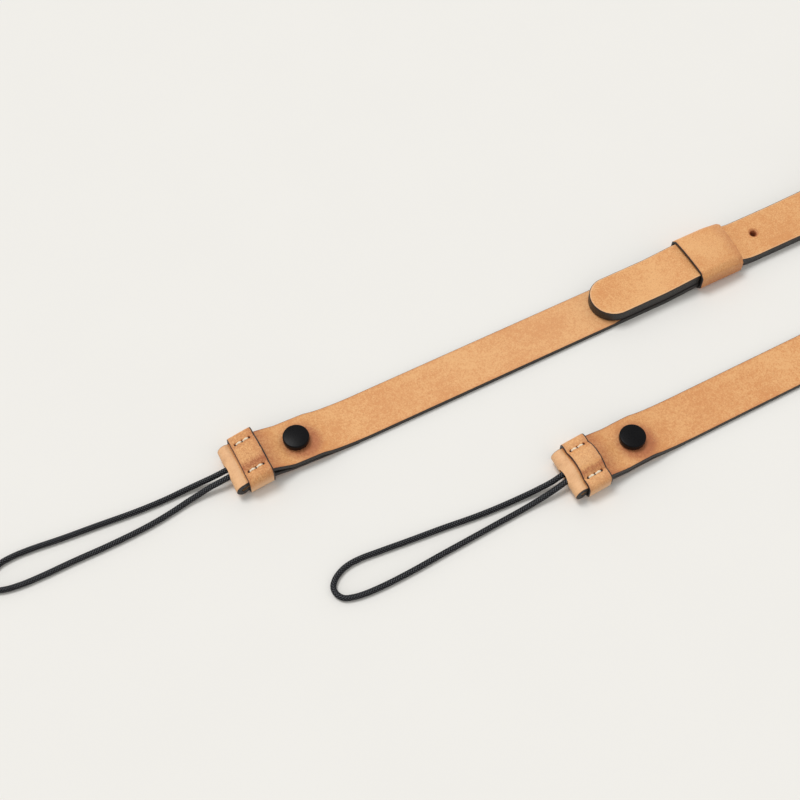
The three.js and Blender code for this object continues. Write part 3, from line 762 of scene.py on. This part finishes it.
def tube(bm, path, sides, overhead, reach):
    """Rolls a grid into a tube along the path; reach gives the radius at a row and an angle."""
    rows = len(path) - 1
    made = bmesh.ops.create_grid(bm, x_segments=rows, y_segments=sides, size=0.5)["verts"]
    for vert in made:
        row = round((vert.co.x + 0.5) * rows)
        angle = 2 * math.pi * (vert.co.y + 0.5)
        ahead = (path[min(row + 1, rows)] - path[max(row - 1, 0)]).normalized()
        side = ahead.cross(overhead).normalized()
        out = side * math.cos(angle) + side.cross(ahead) * math.sin(angle)
        vert.co = path[row] + out * reach(vert, row, angle)
    bmesh.ops.remove_doubles(bm, verts=made, dist=1e-4)
    bmesh.ops.holes_fill(bm, edges=[e for e in bm.edges if e.is_boundary], sides=0)
    bmesh.ops.recalc_face_normals(bm, faces=bm.faces[:])


def braid(end, path, sizes, material):
    """The cord: a tube raised where the yarns are."""
    bm = bmesh.new()
    raised = bm.verts.layers.float.new("raised")
    step = (path[1] - path[0]).length

    def reach(vert, row, angle):
        vert[raised] = braid_height(angle, row * step, sizes)
        return sizes.cord_diameter / MM / 2 * (0.84 + 0.16 * vert[raised])

    tube(bm, path, CORD_SIDES, Vector((0, 0, 1)), reach)
    return finish_mesh(bm, "braided_loop_" + end.name, material, sharp=60)


class STRAP_OT_neck_strap(bpy.types.Operator):
    """Cut, punch and bend the thick neck strap"""

    bl_idname = "strap.neck_strap"
    bl_label = "Neck strap"

    def execute(self, context):
        sizes = context.scene.strap_sizes
        row = sizes.row_length
        long_leg = LONG_LEG - TONGUE_AT
        bend_end = long_leg + math.pi * BEND_RADIUS
        length = bend_end + LONG_LEG - LEG_STAGGER - TONGUE_AT
        bm = cut_blank(length, NECK_WIDTH, NECK_THICKNESS, sizes.arris, rounded=True)
        slice_across(bm, "Y", both_sides(1.4, 2.8, 4.2, 5.6, 6.8))

        # Rows from the tongue of end A, and the same ones the other way round from the tongue of end B
        holes = [ADJUST_AT + index * HOLE_SPACING - TONGUE_AT for index in range(OPEN_HOLES + 1)]
        marks = [(0.9, 0), (2, 1), (NECK_HALF, 1.3)]
        for hole in holes:
            marks += [(hole - HOLE_WINDOW, row), (hole + HOLE_WINDOW, HOLE_WINDOW / 2)]
        starts = [length - end for end, _ in reversed(marks)]
        steps = [row] + [step for _, step in reversed(marks[1:])]
        marks += [(long_leg, row), (bend_end, row), *zip(starts, steps), (length, 1.3)]
        divide_rows(bm, marks)

        punched = []
        for index, hole in enumerate(holes):
            aside = HOLE_ASIDE if index else 0.0
            for centre, shift in ((hole, aside), (length - hole, -aside)):
                punched.append((centre, shift))
                punch(bm, (centre, 0), (HOLE_WINDOW, HOLE_WINDOW), hole_levels(index == 0), NECK_THICKNESS,
                      aside=shift)

        def place(along, aside, depth):
            if along <= long_leg:
                return leg_place(ENDS[0], TONGUE_AT + along, aside, depth)
            if along >= bend_end:
                return leg_place(ENDS[1], TONGUE_AT + length - along, aside, depth)
            angle = math.pi / 2 - (along - long_leg) / BEND_RADIUS
            heading = Vector((math.sin(angle), -math.cos(angle), 0))
            centre = Vector((
                ENDS[0].fold + LONG_LEG + BEND_RADIUS * math.cos(angle),
                (ENDS[0].leg + ENDS[1].leg) / 2 + BEND_RADIUS * math.sin(angle), 0))
            return neck_point(centre, heading, math.pi / 2, 0.0, aside, depth)

        def from_hole(flat):
            return min(math.hypot(flat.x - centre, flat.y - shift) for centre, shift in punched)

        def rim(flat):
            # Painted shade: edge paint is put on the lower walls of the punched holes
            if from_hole(flat) < 1.2 and 0.2 < flat.z < 1:
                return -0.3
            inset = max(NECK_HALF - flat.x, flat.x - (length - NECK_HALF), 0.0)
            return NECK_HALF - math.hypot(inset, flat.y)

        def tint(flat):
            # Painted shade darkens the hole walls; the top round each hole is darkened a little
            if from_hole(flat) > 1.75 or flat.z < 0.2:
                return 0.0
            return PAINTED_SHADE_IN_HOLE if flat.z < NECK_THICKNESS - 0.5 else TINT_HOLE_RIM

        # crest paints a highlight along the neck strap's arrises
        material = material_called("neck leather", leather, context, paint_reach=0.22, crest=0.6)
        piece = bend_blank(bm, "neck_leather", material, place, rim, tint)
        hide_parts("neck_strap")
        return {"FINISHED"}


def hole_levels(is_seat):
    """Rings of a punched hole, with a pressed rim, or with the seat of the hidden stud's head."""
    top = NECK_THICKNESS
    if is_seat:
        return round_levels(
            (2.65, top), (2.5, top - 0.15), (2.5, top - 0.9), (1.1, top - 0.9), (1.1, 0.1), (1.2, 0))
    return round_levels(
        (2.15, top), (1.95, top + 0.06), (1.7, top - 0.04), (1.4, top - 0.3), (1.15, top - 0.5),
        (1.1, top - 0.8), (1.1, 0.3), (1.25, 0))


def round_levels(*rings):
    """Rings of a round hole, from the radius and the height of each."""
    return [(radius, radius, height) for radius, height in rings]


def neck_point(centre, heading, roll, lift, aside, depth):
    left = Vector((-heading.y, heading.x, 0))
    up = Vector((0, 0, 1))
    side = left * math.cos(roll) + up * math.sin(roll)
    normal = up * math.cos(roll) - left * math.sin(roll)
    height = lift + NECK_HALF * math.sin(roll) + NECK_THICKNESS / 2 * math.cos(roll)
    return centre + up * height + side * aside + normal * (depth - NECK_THICKNESS / 2)


def leg_place(end, at, aside, depth):
    heading = Vector((end.side, 0, 0))
    roll = math.radians(eased(ROLL_ROWS, at, 1, 3.0))
    centre = Vector((end.fold + at, end.leg, 0))
    return neck_point(centre, heading, roll, eased(NECK_ROWS, at), aside, depth)


class STRAP_OT_end_straps(ForEachEnd, bpy.types.Operator):
    """Cut, punch and fold the two thin end straps"""

    bl_idname = "strap.end_straps"
    bl_label = "End straps"

    def make(self, context, end):
        row = context.scene.strap_sizes.row_length
        flap = FLAP_END - FOLD_OUTER
        nose = math.pi * (FOLD_INNER + END_THICKNESS / 2)
        fold_end = flap + nose
        length = fold_end + END_STRAP_END - FOLD_OUTER
        stud_low = FLAP_END - end.stud
        stud_high = fold_end + end.stud - FOLD_OUTER
        adjust = fold_end + ADJUST_AT - FOLD_OUTER
        bm = cut_blank(length, END_WIDTH, END_THICKNESS, END_ARRIS)
        slice_across(bm, "Y", both_sides(0.7, 1.4, 2.1, 2.8, 3.5, 4.2, 5.6, 7.0))
        divide_rows(bm, [
            (0.3, 1), (stud_low - HOLE_WINDOW, row), (stud_low + HOLE_WINDOW, 1.4), (flap - 2, 1.0),
            (flap, 0.7), (fold_end, nose / 14), (fold_end + 3, 0.75), (stud_high - HOLE_WINDOW, 1.0),
            (stud_high + HOLE_WINDOW, 1.4), (adjust - SEAT_WINDOW, row), (adjust + SEAT_WINDOW, 1.4),
            (length - 0.6, row), (length, 1),
        ])

        top = END_THICKNESS
        cord_hole = [(0.95, 2.85, top), (0.8, 2.65, top - 0.25), (1.2, 2.65, top / 2), (2.2, 2.7, 0)]
        stud_hole = round_levels((1.9, top), (1.8, top - 0.2), (1.8, 0))
        seat = round_levels((1.2, top), (1.1, top - 0.15), (1.1, 0.9), (3.3, 0.9), (3.3, 0))
        punch(bm, (flap + nose / 2 - 0.15, 0), (nose / 2, CORD_WINDOW), cord_hole, top)
        for centre in (stud_low, stud_high):
            punch(bm, (centre, 0), (HOLE_WINDOW, HOLE_WINDOW), stud_hole, top)
        punch(bm, (adjust, 0), (SEAT_WINDOW, SEAT_WINDOW), seat, top)

        def place(along, aside, depth):
            if along < flap:
                at = FLAP_END - along
                share = eased(LOWER_ROWS, at, 2, 0.8) / END_THICKNESS
                return end.place(at, aside, eased(LOWER_ROWS, at, 1, 0.8) + share * (END_THICKNESS - depth))
            if along < fold_end:
                angle = (along - flap) / nose * math.pi
                radius = FOLD_INNER + depth
                at = FOLD_OUTER - radius * math.sin(angle)
                return end.place(at, aside, FOLD_MIDDLE - radius * math.cos(angle))
            at = FOLD_OUTER + along - fold_end
            return end.place(at, aside, end.upper_under(at, aside) + end.hump_at(at, aside) + depth)

        def rim(flat):
            at = FOLD_OUTER + flat.x - fold_end
            under_tongue = 0.4 * smooth((at - TONGUE_AT - 4) / 3)
            # Painted shade: edge paint reaches 1.2 mm onto the lower layer's inside behind the keeper,
            # where the gape between the layers is in shade
            gape_shade = 1.2 if flat.x < FLAP_END - KEEPER_END and flat.z < 0.3 else 0.0
            return min(END_HALF - abs(flat.y), flat.x, length - flat.x) - under_tongue - gape_shade

        def tint(flat):
            at = FOLD_OUTER + flat.x - fold_end
            # Painted shade on the lower layer, under the upper one
            if flat.x < flap:
                return PAINTED_SHADE_ON_FLAP
            if at < KEEPER_START:
                return TINT_FOLD
            # Painted shadow of the stud, set off towards its lower right, and painted shade just behind the
            # keeper
            stud_shadow = smooth((7.8 - math.hypot(at - end.stud - 1.2, flat.y + 1.2)) / 4.2)
            deeper = 0.12 if end.side < 0 else 0.0
            keeper_shade = PAINTED_SHADE_BEHIND_KEEPER * smooth((18 - at) / 6.5)
            return deeper + max(stud_shadow, keeper_shade) - 0.15 * smooth(at / 150)

        material = material_called("end leather", leather, context, paint_reach=0.15)
        piece = bend_blank(bm, "end_leather_" + end.name, material, place, rim, tint)
        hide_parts("end_strap_" + end.name)


class Keeper:
    """A band round an end: its blank is wrapped from the middle of the underside round a rounded rectangle.

    Its floor, its roof and the hump in its roof follow the leather inside it.
    """

    half = END_HALF + SIDE_GAP

    def __init__(self, end, start, stop, wall, floor, roof, hump, groove=0.0, skew=0.0, softness=0.0):
        self.end, self.wall, self.floor, self.roof, self.hump = end, wall, floor, roof, hump
        self.groove, self.skew, self.softness = groove, skew, softness
        self.width = stop - start
        self.middle = (start + stop) / 2
        self.low, self.high = floor(start), roof(self.middle)
        arc = math.pi / 2 * (KEEPER_CORNER + wall / 2)
        flat, side = self.half - KEEPER_CORNER, self.high - self.low - 2 * KEEPER_CORNER
        self.runs = [flat, arc, side, arc, 2 * flat, arc, side, arc, flat]
        self.length = sum(self.runs) - BAND_GAP
        self.top = self.length / 2

    def blank(self, arris, columns, lines=()):
        """Cuts the blank flat, with finer rows where it has lines of stitch holes."""
        bm = cut_blank(self.length, self.width, self.wall, arris)
        slice_across(bm, "Y", columns)
        rows = [(0.5, 1), (4, 1.2)]
        for line in lines:
            rows += [(line - STITCH_WINDOW, 0.45), (line + STITCH_WINDOW, STITCH_WINDOW / 2)]
        divide_rows(bm, rows + [(self.length - 4, 0.45), (self.length - 0.5, 1.2), (self.length, 1)])
        return bm

    def wrap(self, along, depth):
        """Place across and height of a point of the blank."""
        half, low, high, corner = self.half, self.low, self.high, KEEPER_CORNER
        starts = [
            (0, low, 0), (half - corner, low + corner, 0), (half, low + corner, 90),
            (half - corner, high - corner, 90), (half - corner, high, 180),
            (corner - half, high - corner, 180), (-half, high - corner, 270),
            (corner - half, low + corner, 270), (corner - half, low, 360),
        ]
        along += BAND_GAP / 2
        for index, run in enumerate(self.runs):
            if along <= run or index == len(self.runs) - 1:
                break
            along -= run
        y, z, heading = starts[index]
        if index % 2:
            angle = math.radians(heading + 90 * along / run)
            reach = corner + depth * (1 - self.softness * math.sin(math.pi * along / run) ** 2)
            return y + reach * math.sin(angle), z - reach * math.cos(angle)
        angle = math.radians(heading)
        return (y + along * math.cos(angle) + depth * math.sin(angle),
                z + along * math.sin(angle) - depth * math.cos(angle))

    def rise(self, z):
        """How far up the band a height is, from 0 to 1."""
        return smooth((z - self.low) / (self.high - self.low))

    def place(self, along, aside, depth):
        y, z = self.wrap(along, depth)
        at = self.middle + aside
        rise = self.rise(z)
        z += (1 - rise) * (self.floor(at) - self.low) + rise * (self.roof(at) - self.high)
        dip = bell(abs(y) - STITCH_LINE, 0.55) + 0.8 * bell(y + STITCH_LINE - 0.9, 0.8)
        z += rise * (self.hump(at, y) - self.groove * dip * smooth(depth / self.wall))
        skew = self.skew * y * smooth((at - SLIDE_START) / (SLIDE_END - SLIDE_START))
        return self.end.place(at + skew, y, z)


def bell(distance, reach):
    return math.exp(-(distance / reach) ** 2)


class STRAP_OT_end_keepers(ForEachEnd, bpy.types.Operator):
    """Wrap the stitched keepers round the folded ends"""

    bl_idname = "strap.end_keepers"
    bl_label = "End keepers"

    def make(self, context, end):
        keeper = Keeper(
            end, KEEPER_START, KEEPER_END, KEEPER_WALL, end_keeper_floor, end.keeper_roof, end.hump_at,
            groove=0.22)
        shares = both_sides(0.5, 1)
        columns = sorted({mark + STITCH_WINDOW * share for mark in STITCH_HOLES for share in shares})
        lines = (keeper.top - STITCH_LINE, keeper.top + STITCH_LINE)
        bm = keeper.blank(KEEPER_ARRIS, columns, lines)
        levels = [(0.52, 0.58, KEEPER_WALL - 0.03), (0.38, 0.42, KEEPER_WALL - 0.2), (0.3, 0.34, 0.25)]
        holes = [(line, mark) for line in lines for mark in STITCH_HOLES]
        for hole in holes:
            punch(bm, hole, (STITCH_WINDOW, STITCH_WINDOW), levels, KEEPER_WALL, through=False)

        def in_hole(flat):
            return flat.z < KEEPER_WALL - 0.1 and any(
                math.hypot(flat.x - line, flat.y - mark) < 0.6 for line, mark in holes)

        def rim(flat):
            # Painted shade: edge paint is put inside the stitch holes
            if in_hole(flat) and 0.2 < flat.z < 0.5:
                return -0.3
            # The edge paint reaches further onto the rear rim's top: partly edge paint, partly painted
            # shade for the gap behind the keeper
            return min(keeper.width / 2 + flat.y, 0.35 * (keeper.width / 2 - flat.y))

        def tint(flat):
            # Painted shade inside the stitch holes
            if in_hole(flat):
                return PAINTED_SHADE_IN_HOLE
            y, z = keeper.wrap(flat.x, flat.z)
            # Painted shade in the valleys beside the stitch lines and painted light on the band's sides;
            # the tops are set a little darker on end A and paler on end B
            valley_shade = bell(y + 3.5, 1.1) + 0.3 * bell(y - 4.3, 0.8)
            on_top = PAINTED_SHADE_VALLEY * valley_shade + (0.1 if end.side > 0 else -0.15)
            return on_top * keeper.rise(z) + PAINTED_LIGHT_KEEPER_SIDE * (1 - keeper.rise(z))

        material = material_called("keeper leather", leather, context, paint_reach=0.15, creased=0.4)
        piece = bend_blank(bm, "keeper_leather_" + end.name, material, keeper.place, rim, tint)
        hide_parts("end_keeper_" + end.name)
        cream = material_called("cream thread", thread, context)
        for side, line in zip(("near", "far"), reversed(lines)):
            sew(end, keeper, side, line, cream)


def end_keeper_floor(at):
    return KEEPER_LIFT + KEEPER_WALL + KEEPER_RISE * (at - KEEPER_START) / (KEEPER_END - KEEPER_START)


def sew(end, keeper, side, line, material, steps=30):
    """Stitches from hole to hole along a line, each of two plies twisted together."""
    bm = bmesh.new()
    for start, stop in zip(STITCH_HOLES, STITCH_HOLES[1:]):
        for ply in (0, math.pi):
            path = []
            for share in (i / steps for i in range(steps + 1)):
                aside = start + (stop - start) * (0.15 + 0.7 * share)
                depth = KEEPER_WALL - 0.4 + 0.58 * math.sin(math.pi * share) ** 0.5
                turn = ply + share * 1.6 * math.pi
                path.append(keeper.place(line + 0.13 * math.cos(turn), aside, depth + 0.1 * math.sin(turn)))
            tube(bm, path, 10, Vector((0, 1, 0)), lambda vert, row, angle: THREAD_RADIUS)
    piece = finish_mesh(bm, "stitches_" + side + "_" + end.name, material)


class STRAP_OT_slide_keepers(ForEachEnd, bpy.types.Operator):
    """Wrap the wide keepers that hold the tongues down"""

    bl_idname = "strap.slide_keepers"
    bl_label = "Slide keepers"

    def make(self, context, end):
        keeper = Keeper(
            end, SLIDE_START, SLIDE_END, SLIDE_WALL, lambda at: SLIDE_WALL, slide_keeper_roof,
            slide_keeper_crown, skew=SLIDE_SKEW, softness=0.4)
        shares = both_sides(0.1, 0.2, 0.3, 0.4, 0.46)
        bm = keeper.blank(SLIDE_ARRIS, [keeper.width * share for share in shares])

        def rim(flat):
            return flat.y + keeper.width / 2

        def tint(flat):
            # Painted shade on the band's lower sides; also darker towards its rear end
            z = keeper.wrap(flat.x, flat.z)[1]
            at_end = smooth((flat.y - keeper.width / 2 + 5) / 5)
            return max(PAINTED_SHADE_SLIDE_SIDE * (1 - keeper.rise(z)), TINT_SLIDE_END * at_end)

        material = material_called("slide leather", leather, context, paint_reach=0.2, creased=0.12)
        piece = bend_blank(bm, "slide_leather_" + end.name, material, keeper.place, rim, tint)
        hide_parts("slide_keeper_" + end.name)


def slide_keeper_crown(at, aside):
    """How far a slide keeper's top bulges."""
    share = min(1.0, abs(aside) / END_HALF)
    return (0.4 + 0.3 * (at - SLIDE_START) / (SLIDE_END - SLIDE_START)) * (1 - share * share)


def slide_keeper_roof(at):
    """Inside of a slide keeper's top."""
    roll = math.radians(eased(ROLL_ROWS, at, 1, 0.9))
    return eased(NECK_ROWS, at, 1, 0.9) + NECK_WIDTH * math.sin(roll) + NECK_THICKNESS + SLIDE_GAP


class STRAP_OT_studs(ForEachEnd, bpy.types.Operator):
    """Turn the two round-headed studs and finish the hidden ones"""

    bl_idname = "strap.studs"
    bl_label = "Studs"

    def make(self, context, end):
        metal = material_called("black stud", black_metal, context)
        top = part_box("stud_" + end.name)[1][2] / MM
        under = top - 2.1
        profile = [
            (0, 0), (3.35, 0), (3.6, 0.2), (3.6, 0.6), (3.5, 0.7), (1.5, 0.7), (1.5, under), (3.65, under),
            (3.9, under + 0.1), (4, under + 0.3), (4, top - 0.38), (3.97, top - 0.24), (3.89, top - 0.12),
            (3.76, top - 0.04), (3.6, top), (0, top),
        ]
        piece = spin_piece("stud_head_" + end.name, profile, end.rigid(end.stud), metal)
        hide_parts("stud_" + end.name)
        cord = material_called("black cord", braided_cord, context)
        for node, material in (("adjust_stud_", metal), ("cord_knot_", cord)):
            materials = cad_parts[node + end.name].data.materials
            materials.clear()
            materials.append(material)


def spin_piece(name, profile, matrix, material, steps=72):
    bm = bmesh.new()
    verts = [bm.verts.new((radius, 0, height)) for radius, height in profile]
    edges = [bm.edges.new(pair) for pair in zip(verts, verts[1:])]
    bmesh.ops.spin(
        bm, geom=verts + edges, cent=(0, 0, 0), axis=(0, 0, 1), angle=2 * math.pi, steps=steps,
        use_merge=True)
    bmesh.ops.remove_doubles(bm, verts=bm.verts[:], dist=1e-4)
    bmesh.ops.recalc_face_normals(bm, faces=bm.faces[:])
    bmesh.ops.transform(bm, matrix=matrix, verts=bm.verts)
    return finish_mesh(bm, name, material, sharp=50)


class STRAP_OT_stage(bpy.types.Operator):
    """Set up the floor, the lights and the camera"""

    bl_idname = "strap.stage"
    bl_label = "Stage"

    def execute(self, context):
        stage = context.scene.strap_stage
        bm = bmesh.new()
        bmesh.ops.create_grid(bm, x_segments=1, y_segments=1, size=3)
        mesh = bpy.data.meshes.new("floor")
        bm.to_mesh(mesh)
        bm.free()
        floor = add_object(context, "floor", mesh)
        material, nodes = new_material("floor")
        darker = [value * 0.985 for value in stage.floor]
        nodes.finish(nodes.mix(nodes.noise(nodes.place(), 40.0, 2.0), darker, stage.floor), 0.9, 0.1)
        mesh.materials.append(material)
        self.add_lights(context, stage)
        self.add_camera(context, stage)
        context.scene.view_settings.view_transform = "Standard"
        return {"FINISHED"}

    def add_lights(self, context, stage):
        world = bpy.data.worlds.new("studio")
        context.scene.world = world
        world.use_nodes = True
        background = world.node_tree.nodes["Background"]
        background.inputs["Color"].default_value = (1.0, 0.985, 0.96, 1)
        background.inputs["Strength"].default_value = stage.fill
        turn = Matrix.Rotation(stage.camera_heading, 4, "Z")
        light = bpy.data.lights.new("key", "SUN")
        light.energy = stage.key_strength
        light.angle = stage.key_angle
        lamp = add_object(context, "key", light)
        lamp.rotation_euler = (turn @ Vector((0.5, -0.4, -1.5))).to_track_quat("-Z", "Y").to_euler()

    def add_camera(self, context, stage):
        camera = bpy.data.cameras.new("camera")
        camera.lens = stage.camera_lens
        camera.sensor_width = 36
        camera.clip_start = 0.01
        taker = add_object(context, "camera", camera)
        taker.rotation_euler = (math.pi / 2 - stage.camera_elevation, 0, stage.camera_heading)
        back = Matrix.Rotation(stage.camera_heading, 4, "Z") @ Vector((0, -1, 0))
        reach = stage.camera_distance
        target = Vector((ENDS[0].fold + stage.camera_reach, ENDS[0].leg + stage.camera_aside, 0)) * MM
        taker.location = (
            target + back * reach * math.cos(stage.camera_elevation)
            + Vector((0, 0, reach * math.sin(stage.camera_elevation))))
        context.scene.camera = taker


class STRAP_PT_panel(bpy.types.Panel):
    """Lists the steps of dressing the strap"""

    bl_idname = "STRAP_PT_panel"
    bl_label = "Camera neck strap"
    bl_space_type = "VIEW_3D"
    bl_region_type = "UI"
    bl_category = "Strap"

    def draw(self, context):
        for operator in OPERATORS:
            self.layout.operator(operator.bl_idname)


OPERATORS = (
    STRAP_OT_stage,
    STRAP_OT_cord_loops,
    STRAP_OT_neck_strap,
    STRAP_OT_end_straps,
    STRAP_OT_end_keepers,
    STRAP_OT_slide_keepers,
    STRAP_OT_studs,
)
SETTINGS = {"strap_sizes": StrapSizes, "strap_look": StrapLook, "strap_stage": StageSettings}
CLASSES = (*SETTINGS.values(), *OPERATORS, STRAP_PT_panel)


def register():
    for cls in CLASSES:
        bpy.utils.register_class(cls)
    for name, cls in SETTINGS.items():
        setattr(bpy.types.Scene, name, PointerProperty(type=cls))


def unregister():
    for name in SETTINGS:
        delattr(bpy.types.Scene, name)
    for cls in reversed(CLASSES):
        bpy.utils.unregister_class(cls)


def main():
    register()
    for operator in OPERATORS:
        group, name = operator.bl_idname.split(".")
        getattr(getattr(bpy.ops, group), name)()


if __name__ == "__main__":
    main()
